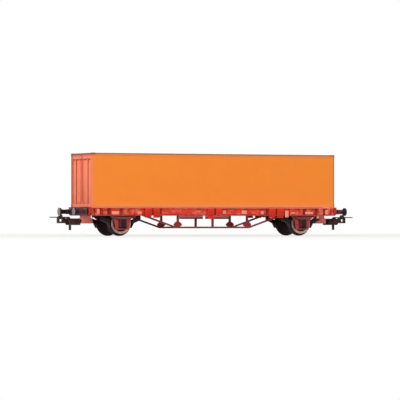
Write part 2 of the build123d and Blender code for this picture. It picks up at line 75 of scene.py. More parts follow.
AXLE_X, _, AXLE_Z = place_of(frame["joints"], "right_wheelset_spin")
BOW_X, _, BOW_Z = place_of(frame["joints"], "right_bow_lift")
_, BUFFER_Y, BUFFER_Z = place_of(frame["record"]["mounts"], "buffer_face_right_back")
BOW_Y = span("coupler_bow_right", "Y")[1]
WHEEL_Y = span("wheel_right_back", "Y")[1]
GUARD_LOW = span("axle_guards_right", "Z")[0]
GUARD_Y = span("axle_guards_right", "Y")[1]
BOX_Y = span("axle_boxes_right", "Y")[1]
BOX_HIGH = span("axle_boxes_right", "Z")[1]
SILL_LOW, SILL_HIGH = span("side_sill_back", "Z")
FLANGE_Y = span("side_sill_back", "Y")[1]
WEB_Y, BRACKET_Y = span("load_brackets_back", "Y")
KEEL_LOW = span("centre_sill", "Z")[0]
HEADSTOCK_X = span("headstock_right", "X")[1]
CONTAINER_LOW, CONTAINER_HIGH = span("container_end", "Z")
END_X, CONTAINER_X = span("container_end", "X")
CONTAINER_Y = span("container_end", "Y")[1]
ROOF_HIGH = span("container_roof", "Z")[1]
DOOR_X = span("door_lock_rods", "X")[1]
ROD_LOW, ROD_HIGH = span("door_lock_rods", "Z")

# Sizes and places that the frame doesn't give: the wheels' tread, the height above which the sills' corners
# get no painted shade, and the outer ends of the door panels
TREAD_RADIUS = 5.5
SILL_SHADE_TOP = SILL_HIGH - 0.65
PANEL_LOW = CONTAINER_LOW + 2.55
PANEL_HIGH = CONTAINER_HIGH - 3.85
PANEL_Y = 11.5


# Colours, as linear values

ORANGE = (0.92, 0.252, 0.028)
ORANGE_PALE = (0.92, 0.33, 0.11)
ORANGE_LINE = (0.44, 0.145, 0.060)
ORANGE_BASE = (0.94, 0.255, 0.075)
ORANGE_RAIL = (0.70, 0.250, 0.080)
ORANGE_POST = (0.75, 0.172, 0.014)
DOOR_ORANGE = (0.93, 0.225, 0.115)
# Painted shade on the door end, in its corners and recesses and beside the seam; it also darkens the header
DOOR_LINE = (0.52, 0.055, 0.035)
# Painted shade on the far post's edge, and the dark line along the door end's top
DOOR_EDGE = (0.20, 0.060, 0.036)
CHASSIS_RED = (0.78, 0.058, 0.026)
CHASSIS_EDGE = (0.93, 0.25, 0.18)
CHASSIS_DARK = (0.36, 0.014, 0.007)
# Painted shade for the frame's corners, the slots behind the sills' webs and the truss bars' undersides
CHASSIS_SHADE = (0.15, 0.003, 0.002)
BRACKET_RED = (0.68, 0.028, 0.010)
# A painted highlight on the sills' upper lip
SILL_LIP_HIGHLIGHT = (1.0, 0.36, 0.19)
# The headstocks' red, darker than the frame's: painted shade
HEADSTOCK_RED = (0.50, 0.022, 0.017)
HEADSTOCK_EDGE = (0.50, 0.10, 0.08)
# Painted shade on the headstocks' end faces
HEADSTOCK_SHADE = (0.055, 0.003, 0.003)
# Paler than the frame's red: painted light on the coupler pockets, which sit in shade
POCKET_RED = (0.90, 0.235, 0.210)
# A painted highlight that makes the keels paler, and painted shade on their lower edge
KEEL_LIT_PINK = (1.0, 0.40, 0.36)
KEEL_SHADE = (0.28, 0.022, 0.018)
# The axle guards' red, darker than the frame's: painted shade
GUARD_RED = (0.40, 0.042, 0.036)
SPRING_RED = (0.18, 0.052, 0.046)
SPRING_EDGE = (0.34, 0.15, 0.14)
# Painted shade in the springs' corners and gaps
SPRING_SHADE = (0.010, 0.005, 0.005)
# The truss's red, darker than the frame's: painted shade
TRUSS_RED = (0.27, 0.018, 0.015)
TRUSS_EDGE = (0.60, 0.16, 0.13)
PLATE_PALE = (0.90, 0.30, 0.20)
PLATE_PALE_EDGE = (0.96, 0.55, 0.42)
PLATE_PINK = (0.92, 0.25, 0.19)
PLATE_PINK_EDGE = (0.97, 0.45, 0.38)
BLACK = (0.013, 0.010, 0.011)
BLACK_EDGE = (0.12, 0.10, 0.11)
RUST = (0.062, 0.020, 0.014)
BOX_RED = (0.22, 0.018, 0.018)
# The buffers' faces: partly rubbed, partly a painted highlight
BUFFER_RUBBED_AND_LIT = (0.27, 0.200, 0.215)
BUFFER_RED = (0.125, 0.018, 0.015)
WHEEL_DARK = (0.020, 0.011, 0.011)
WHEEL_RIM = (0.56, 0.36, 0.33)
STEEL = (0.46, 0.44, 0.42)
STEEL_DARK = (0.20, 0.19, 0.18)


def scaled(colour, factor):
    """The colour, made lighter or darker."""
    return tuple(min(1.0, value * factor) for value in colour)


# Node trees


class Tree:
    """Short names for building the node tree of a material or a world."""

    def __init__(self, owner):
        owner.use_nodes = True
        self.tree = owner.node_tree
        self.tree.nodes.clear()

    def add(self, kind, **settings):
        """A new node with these settings."""
        node = self.tree.nodes.new(kind)
        for name, value in settings.items():
            setattr(node, name, value)
        return node

    def feed(self, socket, value):
        """Links an input to another socket, or sets it to a number, a vector or a colour."""
        if isinstance(value, bpy.types.NodeSocket):
            self.tree.links.new(value, socket)
        elif socket.type == "RGBA":
            socket.default_value = (*value, 1.0)
        else:
            socket.default_value = value

    def set(self, node, **values):
        """Feeds inputs by their names, with _ for a space."""
        for name, value in values.items():
            self.feed(node.inputs[name.replace("_", " ")], value)
        return node

    def math(self, operation, *values, clamp=False):
        """A calculation with numbers."""
        node = self.add("ShaderNodeMath", operation=operation, use_clamp=clamp)
        for socket, value in zip(node.inputs, values):
            self.feed(socket, value)
        return node.outputs[0]

    def vector(self, operation, *values):
        """A calculation with vectors. A length and a dot product come out as numbers."""
        node = self.add("ShaderNodeVectorMath", operation=operation)
        for socket, value in zip(node.inputs, values):
            self.feed(socket, value)
        return node.outputs["Value" if operation in ("LENGTH", "DOT_PRODUCT") else "Vector"]

    def product(self, first, *others):
        """The product of numbers and number sockets."""
        for other in others:
            first = self.math("MULTIPLY", first, other)
        return first

    def absolute(self, value):
        """A number without its sign."""
        return self.math("ABSOLUTE", value)

    def ramp(self, value, low, high, from_value=0.0, to_value=1.0):
        """Maps low..high to from_value..to_value, and holds beyond."""
        node = self.add("ShaderNodeMapRange", clamp=True)
        self.set(node, Value=value, From_Min=low, From_Max=high, To_Min=from_value, To_Max=to_value)
        return node.outputs[0]

    def mix_shaders(self, factor, first, second, output):
        """Shows the first shader where the factor is 0, and the second where it is 1."""
        node = self.add("ShaderNodeMixShader")
        for socket, source in zip(node.inputs, (factor, first.outputs[0], second.outputs[0])):
            self.feed(socket, source)
        self.set(self.add(output), Surface=node.outputs[0])


class Look(Tree):
    """A material with a principled shader. Lengths are in millimetres."""

    def __init__(self, name):
        self.material = bpy.data.materials.new(name)
        super().__init__(self.material)
        self.shader = self.add("ShaderNodeBsdfPrincipled")
        self.set(self.add("ShaderNodeOutputMaterial"), Surface=self.shader.outputs["BSDF"])
        self.place = self.add("ShaderNodeTexCoord").outputs["Object"]

    def noise(self, size, detail=3.0, roughness=0.55, stretch=None):
        """Noise between 0 and 1 whose features are about this size."""
        place = self.place
        if stretch:
            place = self.set(self.add("ShaderNodeMapping"), Vector=place, Scale=stretch).outputs[0]
        node = self.add("ShaderNodeTexNoise")
        self.set(node, Vector=place, Scale=1 / (size * MM), Detail=detail, Roughness=roughness)
        return node.outputs["Fac"]

    def mix(self, factor, first, second):
        """Blends two colours, each a tuple or a socket."""
        node = self.set(self.add("ShaderNodeMix", data_type="RGBA"), Factor=factor)
        colours = [socket for socket in node.inputs if socket.type == "RGBA"]
        for socket, value in zip(colours, (first, second)):
            self.feed(socket, value)
        return next(socket for socket in node.outputs if socket.type == "RGBA")

    def edges(self, radius):
        """About 1 within this radius of a sharp edge, and 0 on flat faces."""
        bevel = self.set(self.add("ShaderNodeBevel", samples=6), Radius=radius * MM)
        geometry = self.add("ShaderNodeNewGeometry")
        flat = self.vector("DOT_PRODUCT", bevel.outputs["Normal"], geometry.outputs["Normal"])
        return self.ramp(flat, 0.995, 0.86)

    def hollows(self, width):
        """About 1 in corners and gaps narrower than this, and 0 in the open."""
        node = self.set(self.add("ShaderNodeAmbientOcclusion", samples=8), Distance=width * MM)
        return self.ramp(node.outputs["AO"], 0.85, 0.25)

    def facing(self, axis):
        """How far the surface faces along one axis, from -1 to 1."""
        geometry = self.add("ShaderNodeNewGeometry")
        node = self.set(self.add("ShaderNodeSeparateXYZ"), Vector=geometry.outputs["True Normal"])
        return node.outputs[axis]

    def coordinate(self, axis):
        """One coordinate of the point on the piece, in metres."""
        return self.set(self.add("ShaderNodeSeparateXYZ"), Vector=self.place).outputs[axis]

    def along(self, axis, start, end, from_value=0.0, to_value=1.0):
        """Changes from one value to the other between two places on an axis."""
        return self.ramp(self.coordinate(axis), start * MM, end * MM, from_value, to_value)

    def outwards(self, axis, start, end, from_value=0.0, to_value=1.0):
        """The same on both sides, between two distances from the wagon's middle."""
        return self.ramp(self.absolute(self.coordinate(axis)), start * MM, end * MM, from_value, to_value)

    def bump(self, height, distance, strength):
        """Roughens the surface by a pattern of heights."""
        node = self.set(self.add("ShaderNodeBump"), Height=height, Distance=distance * MM, Strength=strength)
        self.set(self.shader, Normal=node.outputs[0])


# Materials


def moulded(name, colour, edge, variation=0.10, rough=(0.38, 0.52), edge_width=0.10, hollow_shade=None,
            shade_width=0.8, unshaded_above=None, tint=None, sheen=0.30):
    """Moulded and painted plastic: soft mottling, fine grain, lighter edges that are partly rubbed and partly a
    painted highlight, and painted shade in corners.

    Above the height unshaded_above the corners get no painted shade. tint takes the look and its base colour, and
    gives back a colour that changes over the piece.
    """
    look = Look(name)
    darker = scaled(colour, 1 - variation)
    base = look.mix(look.ramp(look.noise(9.0, 4.0), 0.3, 0.7), darker, scaled(colour, 1 + variation / 2))
    if tint:
        base = tint(look, base)
    base = look.mix(look.ramp(look.noise(0.35, 2.0), 0.62, 0.8, 0.0, 0.35), base, darker)
    # Lighter edges: partly rubbed paint, partly a painted highlight
    edge_wear_and_highlight = look.product(look.edges(edge_width), look.ramp(look.noise(1.5), 0.35, 0.6, 0.35, 0.9))
    base = look.mix(edge_wear_and_highlight, base, edge)
    # Painted shade in corners and narrow gaps, in the colour given for it
    if hollow_shade:
        hollow_shade_mask = look.product(look.hollows(shade_width), 0.85)
        if unshaded_above:
            hollow_shade_mask = look.product(hollow_shade_mask, look.along("Z", unshaded_above, unshaded_above - 0.3))
        base = look.mix(hollow_shade_mask, base, hollow_shade)
    look.set(look.shader, Base_Color=base, Roughness=look.ramp(look.noise(2.5), 0.3, 0.7, *rough),
             Specular_IOR_Level=sheen)
    look.bump(look.noise(0.12, 2.0), 0.012, 0.5)
    return look.material


def metal(name, colour, dark, stretch, rough=(0.28, 0.45)):
    """Turned or rolled steel with fine lines along one direction."""
    look = Look(name)
    lines = look.noise(0.10, 2.0, stretch=stretch)
    patches = look.noise(4.0, 4.0)
    base = look.mix(look.ramp(lines, 0.3, 0.7), dark, colour)
    base = look.mix(look.ramp(patches, 0.55, 0.8, 0.0, 0.5), base, dark)
    look.set(look.shader, Base_Color=base, Roughness=look.ramp(patches, 0.3, 0.7, *rough), Metallic=0.85)
    look.bump(lines, 0.01, 0.4)
    return look.material


def wheel_look(name, end, side):
    """A blackened wheel with a bright turned ring on its outer face."""
    look = Look(name)
    from_axle = look.vector("SUBTRACT", look.place, (end * AXLE_X * MM, 0.0, AXLE_Z * MM))
    radius = look.vector("LENGTH", look.vector("MULTIPLY", from_axle, (1.0, 0.0, 1.0)))
    rings = look.set(look.add("ShaderNodeTexNoise", noise_dimensions="1D"), W=radius, Scale=1 / (0.12 * MM))
    rings = rings.outputs["Fac"]
    ring = look.product(
        look.ramp(look.product(look.coordinate("Y"), side), (WHEEL_Y - 0.3) * MM, (WHEEL_Y - 0.1) * MM),
        look.ramp(radius, (TREAD_RADIUS - 1.3) * MM, (TREAD_RADIUS - 1.1) * MM),
        look.ramp(radius, (TREAD_RADIUS + 0.02) * MM, (TREAD_RADIUS - 0.05) * MM),
        look.ramp(look.noise(1.6, 4.0), 0.30, 0.45, 0.55, 1.0),
    )
    dark = look.mix(look.ramp(look.noise(2.2, 4.0), 0.35, 0.7), WHEEL_DARK, scaled(WHEEL_DARK, 2.2))
    bright = look.mix(rings, scaled(WHEEL_RIM, 0.72), WHEEL_RIM)
    base = look.mix(ring, dark, bright)
    # A painted highlight on the wheel's edges
    base = look.mix(look.product(look.edges(0.08), 0.35), base, WHEEL_RIM)
    look.set(look.shader, Base_Color=base, Metallic=look.ramp(ring, 0.0, 1.0, 0.0, 0.7),
             Roughness=look.ramp(look.noise(1.2), 0.3, 0.7, 0.34, 0.5), Specular_IOR_Level=0.16)
    look.bump(rings, 0.012, 0.5)
    return look.material


def container_tint(look, base):
    """The pinker base rail, and the duller top rail and right edge that end in a brown line."""
    base = look.mix(look.along("Z", CONTAINER_LOW + 1.65, CONTAINER_LOW + 1.35), base, ORANGE_BASE)
    not_up = look.ramp(look.absolute(look.facing("Z")), 0.7, 0.3)
    not_endways = look.ramp(look.absolute(look.facing("X")), 0.7, 0.3)
    rail = look.product(look.along("Z", CONTAINER_HIGH - 2.35, CONTAINER_HIGH - 1.05, 0.0, 0.6), not_up)
    edge = look.product(look.along("X", CONTAINER_X - 2.25, CONTAINER_X - 0.85, 0.0, 0.5), not_endways)
    base = look.mix(look.math("MAXIMUM", rail, edge), base, ORANGE_RAIL)
    rail_line = look.product(look.along("Z", CONTAINER_HIGH - 0.95, CONTAINER_HIGH - 0.7), not_up)
    edge_line = look.product(look.along("X", CONTAINER_X - 0.9, CONTAINER_X - 0.6), not_endways)
    return look.mix(look.product(look.math("MAXIMUM", rail_line, edge_line), 0.95), base, ORANGE_LINE)


def door_tint(look, base):
    """Painted shade in the recesses around the door panels and a painted shadow beside the seam, the posts' side
    faces in the container's orange, the near post in a deeper orange, a darker header, and painted shade on the
    far post's edge with a dark line along the top.
    """
    doorwards = look.ramp(look.facing("X"), -0.4, -0.8)
    # Painted shade in the recesses around and between the raised panels
    behind = look.product(
        look.along("X", DOOR_X - 0.22, DOOR_X - 0.1),
        look.outwards("Y", PANEL_Y + 0.1, PANEL_Y - 0.9, 0.2, 1.0),
        look.along("Z", PANEL_LOW - 0.1, PANEL_LOW + 0.3, 0.3, 1.0),
    )
    base = look.mix(behind, base, DOOR_LINE)
    # A painted shadow beside the seam, off towards the near side
    from_seam = look.absolute(look.math("ADD", look.coordinate("Y"), 0.5 * MM))
    seam = look.product(look.ramp(from_seam, 1.5 * MM, 0.9 * MM, 0.0, 0.65),
                        look.along("Z", PANEL_HIGH - 0.3, PANEL_HIGH + 0.1))
    base = look.mix(seam, base, DOOR_LINE)
    post_side = look.product(look.ramp(look.absolute(look.facing("Y")), 0.4, 0.8),
                             look.along("X", 0.15 - CONTAINER_X, -0.2 - END_X, 0.45, 1.0))
    base = look.mix(post_side, base, ORANGE)
    post = look.product(look.along("Y", 2.0 - CONTAINER_Y, 0.4 - CONTAINER_Y, 0.0, 0.7), doorwards)
    base = look.mix(post, base, ORANGE_POST)
    header = look.product(look.along("Z", CONTAINER_HIGH - 2.25, CONTAINER_HIGH - 1.35, 0.0, 0.42), doorwards)
    base = look.mix(header, base, DOOR_LINE)
    # Painted shade on the far post's edge, and a dark line along the top edge
    edge = look.product(look.along("Y", PANEL_Y + 0.1, PANEL_Y + 0.7), doorwards)
    top = look.product(look.along("Z", CONTAINER_HIGH - 1.45, CONTAINER_HIGH - 0.75),
                       look.ramp(look.facing("Z"), 0.7, 0.3))
    return look.mix(look.product(look.math("MAXIMUM", edge, top), 0.9), base, DOOR_EDGE)


def sill_tint(look, base):
    """The web: darker and lighter patches, painted shade behind the web's face and along the lower flange, and a
    painted highlight on the upper flange's lip.
    """
    patches = look.ramp(look.noise(5.5, 4.0, 0.6, (1.0, 1.0, 1.6)), 0.48, 0.62, 0.0, 0.7)
    base = look.mix(patches, base, CHASSIS_DARK)
    glow = look.ramp(look.noise(3.5, 3.0, 0.6, (0.7, 1.0, 1.5)), 0.50, 0.64, 0.0, 0.7)
    base = look.mix(glow, base, CHASSIS_EDGE)
    # Painted shade on everything deeper than the web's face, such as the backs of the slots
    base = look.mix(look.outwards("Y", WEB_Y - 0.3, WEB_Y - 0.6), base, CHASSIS_SHADE)
    # A painted highlight on the upper flange's lip, where the container's overhang shades it
    lip = look.product(
        look.along("Z", SILL_HIGH - 1.05, SILL_HIGH - 0.85, 0.0, 0.85),
        look.outwards("Y", FLANGE_Y - 0.15, FLANGE_Y - 0.05),
        look.ramp(look.facing("Z"), 0.7, 0.3),
    )
    base = look.mix(lip, base, SILL_LIP_HIGHLIGHT)
    # Painted shade along the lower flange
    return look.mix(look.along("Z", SILL_LOW + 0.6, SILL_LOW + 0.45, 0.0, 0.7), base, CHASSIS_DARK)


def keel_tint(look, base):
    """The keels below the centre sill: paler as a painted highlight, with painted shade on their lower edge."""
    base = look.mix(look.along("Z", SILL_LOW + 0.05, SILL_LOW - 0.05), base, KEEL_LIT_PINK)
    return look.mix(look.along("Z", KEEL_LOW + 0.9, KEEL_LOW + 0.7), base, KEEL_SHADE)


def headstock_tint(look, base):
    """Painted shade: the end faces much darker than the sides."""
    return look.mix(look.ramp(look.absolute(look.facing("X")), 0.4, 0.8), base, HEADSTOCK_SHADE)


def truss_tint(look, base):
    """Painted shade on the bars' undersides."""
    return look.mix(look.ramp(look.facing("Z"), 0.2, -0.4, 0.0, 0.6), base, CHASSIS_SHADE)


def coupler_tint(look, base):
    """Rusty patches on the couplers."""
    return look.mix(look.ramp(look.noise(2.6), 0.40, 0.58, 0.3, 0.9), base, RUST)


def axle_box_tint(look, base):
    """Dark red sides on the black axle boxes."""
    from_middle = look.absolute(look.coordinate("X"))
    from_axle = look.absolute(look.math("SUBTRACT", from_middle, AXLE_X * MM))
    return look.mix(look.ramp(from_axle, 1.15 * MM, 1.45 * MM, 0.0, 0.9), base, BOX_RED)


def buffer_tint(look, base):
    """The buffers' faces lighter, partly rubbed and partly a painted highlight, and the frame's red on the bases
    of the front ones.
    """
    red_base = look.product(
        look.outwards("X", HEADSTOCK_X + 4.9, HEADSTOCK_X + 3.7, 0.0, 0.85),
        look.along("Y", 1.0, -1.0),
        look.ramp(look.noise(1.5), 0.35, 0.6, 0.6, 1.0),
    )
    base = look.mix(red_base, base, BUFFER_RED)
    # Lighter end faces: partly rubbed, partly a painted highlight
    rubbed_and_lit = look.product(look.ramp(look.absolute(look.facing("X")), 0.8, 0.95),
                        look.ramp(look.noise(1.8), 0.30, 0.60, 0.5, 1.0))
    return look.mix(rubbed_and_lit, base, BUFFER_RUBBED_AND_LIT)


def black_plastic(name, tint=None):
    """The black of the couplers, buffers and axle boxes."""
    return moulded(name, BLACK, BLACK_EDGE, variation=0.15, rough=(0.35, 0.5), edge_width=0.08, tint=tint,
                   sheen=0.14)


orange = moulded("container_orange", ORANGE, ORANGE_PALE, variation=0.018, rough=(0.44, 0.50),
                 tint=container_tint, sheen=0.16)
door = moulded("door_orange", DOOR_ORANGE, ORANGE_PALE, variation=0.06, rough=(0.42, 0.55), hollow_shade=DOOR_LINE,
               shade_width=0.5, tint=door_tint)
panel = moulded("door_panel_orange", DOOR_ORANGE, ORANGE_PALE, rough=(0.40, 0.55), edge_width=0.12)
rods = moulded("lock_rod_orange", scaled(DOOR_ORANGE, 0.92), ORANGE_PALE, variation=0.12, hollow_shade=DOOR_LINE,
               shade_width=0.4)
red = moulded("chassis_red", CHASSIS_RED, CHASSIS_EDGE, rough=(0.34, 0.48), edge_width=0.14,
              hollow_shade=CHASSIS_SHADE, shade_width=1.6)
sill_red = moulded("sill_red", CHASSIS_RED, CHASSIS_EDGE, rough=(0.34, 0.48), edge_width=0.14,
                   hollow_shade=CHASSIS_SHADE, shade_width=0.6, unshaded_above=SILL_SHADE_TOP, tint=sill_tint, sheen=0.16)
bracket_red = moulded("bracket_red", BRACKET_RED, CHASSIS_EDGE, variation=0.16, rough=(0.34, 0.48),
                      edge_width=0.14, hollow_shade=CHASSIS_SHADE, shade_width=0.7, unshaded_above=SILL_SHADE_TOP, sheen=0.16)
headstock_red = moulded("headstock_red", HEADSTOCK_RED, HEADSTOCK_EDGE, variation=0.3, rough=(0.40, 0.55),
                        edge_width=0.12, tint=headstock_tint)
pocket_red = moulded("pocket_red", POCKET_RED, CHASSIS_EDGE, variation=0.14, rough=(0.36, 0.50),
                     edge_width=0.16, hollow_shade=CHASSIS_DARK, shade_width=0.9)
guard_red = moulded("guard_red", GUARD_RED, CHASSIS_EDGE, variation=0.25, hollow_shade=CHASSIS_SHADE, shade_width=1.4)
truss_red = moulded("truss_red", TRUSS_RED, TRUSS_EDGE, variation=0.22, tint=truss_tint)
keel_red = moulded("keel_red", CHASSIS_RED, CHASSIS_EDGE, variation=0.12, rough=(0.40, 0.55), tint=keel_tint)
spring_red = moulded("spring_red", SPRING_RED, SPRING_EDGE, variation=0.2, rough=(0.35, 0.5),
                     hollow_shade=SPRING_SHADE, shade_width=0.35, sheen=0.2)
pale = moulded("plate_pale", PLATE_PALE, PLATE_PALE_EDGE, variation=0.08, edge_width=0.14)
pink = moulded("plate_pink", PLATE_PINK, PLATE_PINK_EDGE, edge_width=0.14)
black = black_plastic("black_plastic")
coupler_black = black_plastic("coupler_black", coupler_tint)
buffer_black = black_plastic("buffer_black", buffer_tint)
box_black = black_plastic("axle_box_black", axle_box_tint)
steel = metal("axle_steel", STEEL, STEEL_DARK, (1.0, 0.05, 1.0))
rolled = metal("ballast_steel", STEEL_DARK, scaled(STEEL_DARK, 0.5), (0.05, 1.0, 1.0), (0.45, 0.6))

# The look of each material slot in the record
SLOT_LOOKS = {
    "container_orange": orange,
    "door_orange": door,
    "chassis_red": red,
    "black_plastic": black,
    "bright_steel": steel,
    "plain_steel": rolled,
}


def dress(node, material):
    """Gives every material slot of a CAD node this material."""
    materials = frame["nodes"][node].data.materials
    if not materials:
        materials.append(material)
    for index in range(len(materials)):
        materials[index] = material


for subpart in frame["record"]["subparts"]:
    if subpart["material_slot"] in SLOT_LOOKS:
        dress(subpart["node"], SLOT_LOOKS[subpart["material_slot"]])
dress("centre_sill", keel_red)
for side_name in SIDES:
    dress(f"side_sill_{side_name}", sill_red)
    dress(f"load_brackets_{side_name}", bracket_red)
    dress(f"truss_rods_{side_name}", truss_red)
    dress(f"truss_posts_{side_name}", truss_red)
for end_name, end in ENDS.items():
    dress(f"headstock_{end_name}", headstock_red)
    dress(f"buffers_{end_name}", buffer_black)
    dress(f"coupler_{end_name}", coupler_black)
    dress(f"coupler_bow_{end_name}", coupler_black)
    dress(f"coupler_pocket_{end_name}", pocket_red)
    dress(f"axle_guards_{end_name}", guard_red)
    dress(f"axle_boxes_{end_name}", box_black)
    for side_name, side in SIDES.items():
        dress(f"wheel_{end_name}_{side_name}", wheel_look(f"wheel_dark_{end_name}_{side_name}", end, side))


# Pieces that ride on the solids, in millimetres


def around(middle, half):
    """The two ends of a stretch with this middle."""
    return middle - half, middle + half


def across(side, near, far):
    """The two ends of a stretch between two distances from the wagon's middle, on one side of it."""
    return side * near, side * far


def add_object(name, data):
    """A new object with this mesh, lamp or camera, in the scene."""
    thing = bpy.data.objects.new(name, data)
    bpy.context.scene.collection.objects.link(thing)
    return thing


# Angles between two faces: above the first their edge is bevelled, below the second it is shaded smooth
SHARP_ANGLE = 1.0
SMOOTH_ANGLE = math.radians(40)


class Shape:
    """Gathers bevelled blocks, bars and bent strips into one mesh."""

    def __init__(self):
        self.bm = bmesh.new()

    def soften(self, verts, bevel):
        """Rounds the sharp edges at these new points, each edge once and in their order."""
        edges = dict.fromkeys(edge for vert in verts for edge in vert.link_edges)
        sharp = [edge for edge in edges if edge.calc_face_angle(0.0) > SHARP_ANGLE]
        bmesh.ops.bevel(self.bm, geom=sharp, offset=bevel, segments=2, profile=0.5, affect="EDGES")

    def block(self, x, y, z, bevel):
        """A block between the two ends given for each axis."""
        middle = Vector((sum(x), sum(y), sum(z))) / 2
        size = Matrix.Diagonal((abs(x[1] - x[0]), abs(y[1] - y[0]), abs(z[1] - z[0]), 1.0))
        made = bmesh.ops.create_cube(self.bm, size=1.0, matrix=Matrix.Translation(middle) @ size)
        self.soften(made["verts"], bevel)

    def bar(self, start, end, radius, bevel, sides):
        """A round or many-sided bar between two points."""
        start, end = Vector(start), Vector(end)
        turn = (end - start).to_track_quat("Z", "Y").to_matrix().to_4x4()
        place = Matrix.Translation((start + end) / 2) @ turn
        made = bmesh.ops.create_cone(self.bm, cap_ends=True, segments=sides, radius1=radius, radius2=radius,
                                     depth=(end - start).length, matrix=place)
        self.soften(made["verts"], bevel)

    def rivet(self, place, side, radius):
        """A rivet head on a face that looks to this side."""
        place = Vector(place)
        self.bar(place, place + Vector((0, side, 0)) * radius * 0.8, radius, radius * 0.5, 10)

    def strip(self, points, y, thick, bevel):
        """A flat bar bent along (x, z) points that give its upper side."""
        rows = []
        for x, z in points:
            corners = ((y[0], z), (y[1], z), (y[1], z - thick), (y[0], z - thick))
            rows.append([self.bm.verts.new((x, *corner)) for corner in corners])
        for first, second in zip(rows, rows[1:]):
            for k in range(4):
                self.bm.faces.new((first[k], second[k], second[(k + 1) % 4], first[(k + 1) % 4]))
        self.bm.faces.new(rows[0])
        self.bm.faces.new(list(reversed(rows[-1])))
        self.soften([vert for row in rows for vert in row], bevel)

    def build(self, name, material, slot, body, *replaced):
        """Makes the piece, and says what it rides on and which CAD nodes it replaces."""
        bmesh.ops.recalc_face_normals(self.bm, faces=self.bm.faces)
        bmesh.ops.scale(self.bm, vec=(MM, MM, MM), verts=self.bm.verts)
        mesh = bpy.data.meshes.new(name)
        self.bm.to_mesh(mesh)
        self.bm.free()
        mesh.shade_smooth()
        mesh.set_sharp_from_angle(angle=SMOOTH_ANGLE)
        mesh.materials.append(material)
        piece = add_object(name, mesh)
        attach(piece, body)
        if replaced:
            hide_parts(*replaced)


# How deep a piece stands in the solid behind it
SINK = 0.05

# Blank plates and pads in the sills' channels, from the photograph: their ends in x and in z
PLATES = (
    ((-58.4, -54.4), (11.1, 12.8)),
    ((15.8, 18.6), (11.3, 13.3)),
    ((53.1, 57.6), (11.3, 12.7)),
)
PADS = (
    ((-67.0, -65.2), (11.1, 13.9)),
    ((-43.9, -41.6), (11.1, 12.8)),
    ((4.6, 6.7), (11.3, 13.3)),
    ((26.9, 28.7), (11.2, 13.0)),
    ((44.6, 47.0), (11.4, 12.6)),
    ((65.0, 66.9), (11.1, 13.7)),
)

# A plate that hangs over the lower flange, and a tab under the sill
HANGING_PLATE = ((40.9, 42.9), (9.7, 13.2))
LOW_TAB = ((60.0, 61.4), (9.1, SILL_LOW + SINK))

# The rivets on each half of a sill, on its ribs and on its web: places in x, heights, distance out, radius
SILL_RIVETS = (
    ((69.3, 66.8, 62.2, 50.6, 44.6), (11.7, 13.9), WEB_Y + 0.8, 0.2),
    ((12.0, 21.0, 24.0), (11.6, 13.9), WEB_Y, 0.22),
)

# The hinges of the load brackets: a strap with two rivets, and a pin below it
BRACKETS_X = (-38.1, -33.3, -2.4, 2.4, 33.3, 38.1)
STRAP_Z = (12.0, 14.1)
STRAP_WIDTH = 2.7
STRAP_THICK = 0.15
STRAP_RIVET_Z = 13.6
STRAP_RIVET_SPACING = 1.9
HINGE_PIN_Z = 11.1
HINGE_PIN_LENGTH = 3.2
HINGE_PIN_RADIUS = 0.28


def sill_pieces(side_name, side):
    """The blank plates, pads and rivets of one side sill, and the bracket hinges."""
    plates = Shape()
    for x, z in PLATES:
        plates.block(x, across(side, WEB_Y - SINK, FLANGE_Y - 0.12), z, 0.12)
    x, z = HANGING_PLATE
    plates.block(x, across(side, FLANGE_Y - SINK, FLANGE_Y + 0.3), z, 0.12)
    x, z = LOW_TAB
    plates.block(x, across(side, FLANGE_Y - 1.2, FLANGE_Y - 0.4), z, 0.12)
    plates.build(f"sill_plates_{side_name}", pale, "chassis_red", "wagon")
    pads = Shape()
    for x, z in PADS:
        pads.block(x, across(side, WEB_Y - SINK, FLANGE_Y - 0.18), z, 0.2)
    pads.build(f"sill_pads_{side_name}", pink, "chassis_red", "wagon")
    rivets = Shape()
    for end in ENDS.values():
        for places, heights, y, radius in SILL_RIVETS:
            for x in places:
                for z in heights:
                    rivets.rivet((end * x, side * y, z), side, radius)
    rivets.build(f"sill_rivets_{side_name}", red, "chassis_red", "wagon")
    hinges = Shape()
    face = side * BRACKET_Y
    strap_face = side * (BRACKET_Y + STRAP_THICK)
    for x in BRACKETS_X:
        hinges.block(around(x, STRAP_WIDTH / 2), (side * (BRACKET_Y - SINK), strap_face), STRAP_Z, 0.08)
        left, right = around(x, HINGE_PIN_LENGTH / 2)
        hinges.bar((left, face, HINGE_PIN_Z), (right, face, HINGE_PIN_Z), HINGE_PIN_RADIUS, 0.08, 12)
        for rivet_x in around(x, STRAP_RIVET_SPACING / 2):
            hinges.rivet((rivet_x, strap_face, STRAP_RIVET_Z), side, 0.2)
    hinges.build(f"bracket_hinges_{side_name}", bracket_red, "chassis_red", "wagon")


# Bolts down each leg of an axle guard: distance from the axle's middle, height
GUARD_BOLTS = ((5.5, 10.1), (3.3, 8.0), (3.1, 5.6), (2.95, 4.0))
STIFFENER_LENGTH = 5.8

# On an axle box: how far its shoulder is behind its cover, the bolts beside and above the axle's middle,
# and the round plate on the cover
SHOULDER_DEPTH = 0.3
BOX_BOLT_X = 1.3
BOX_BOLT_Z = 1.55
COVER_RADIUS = 0.95


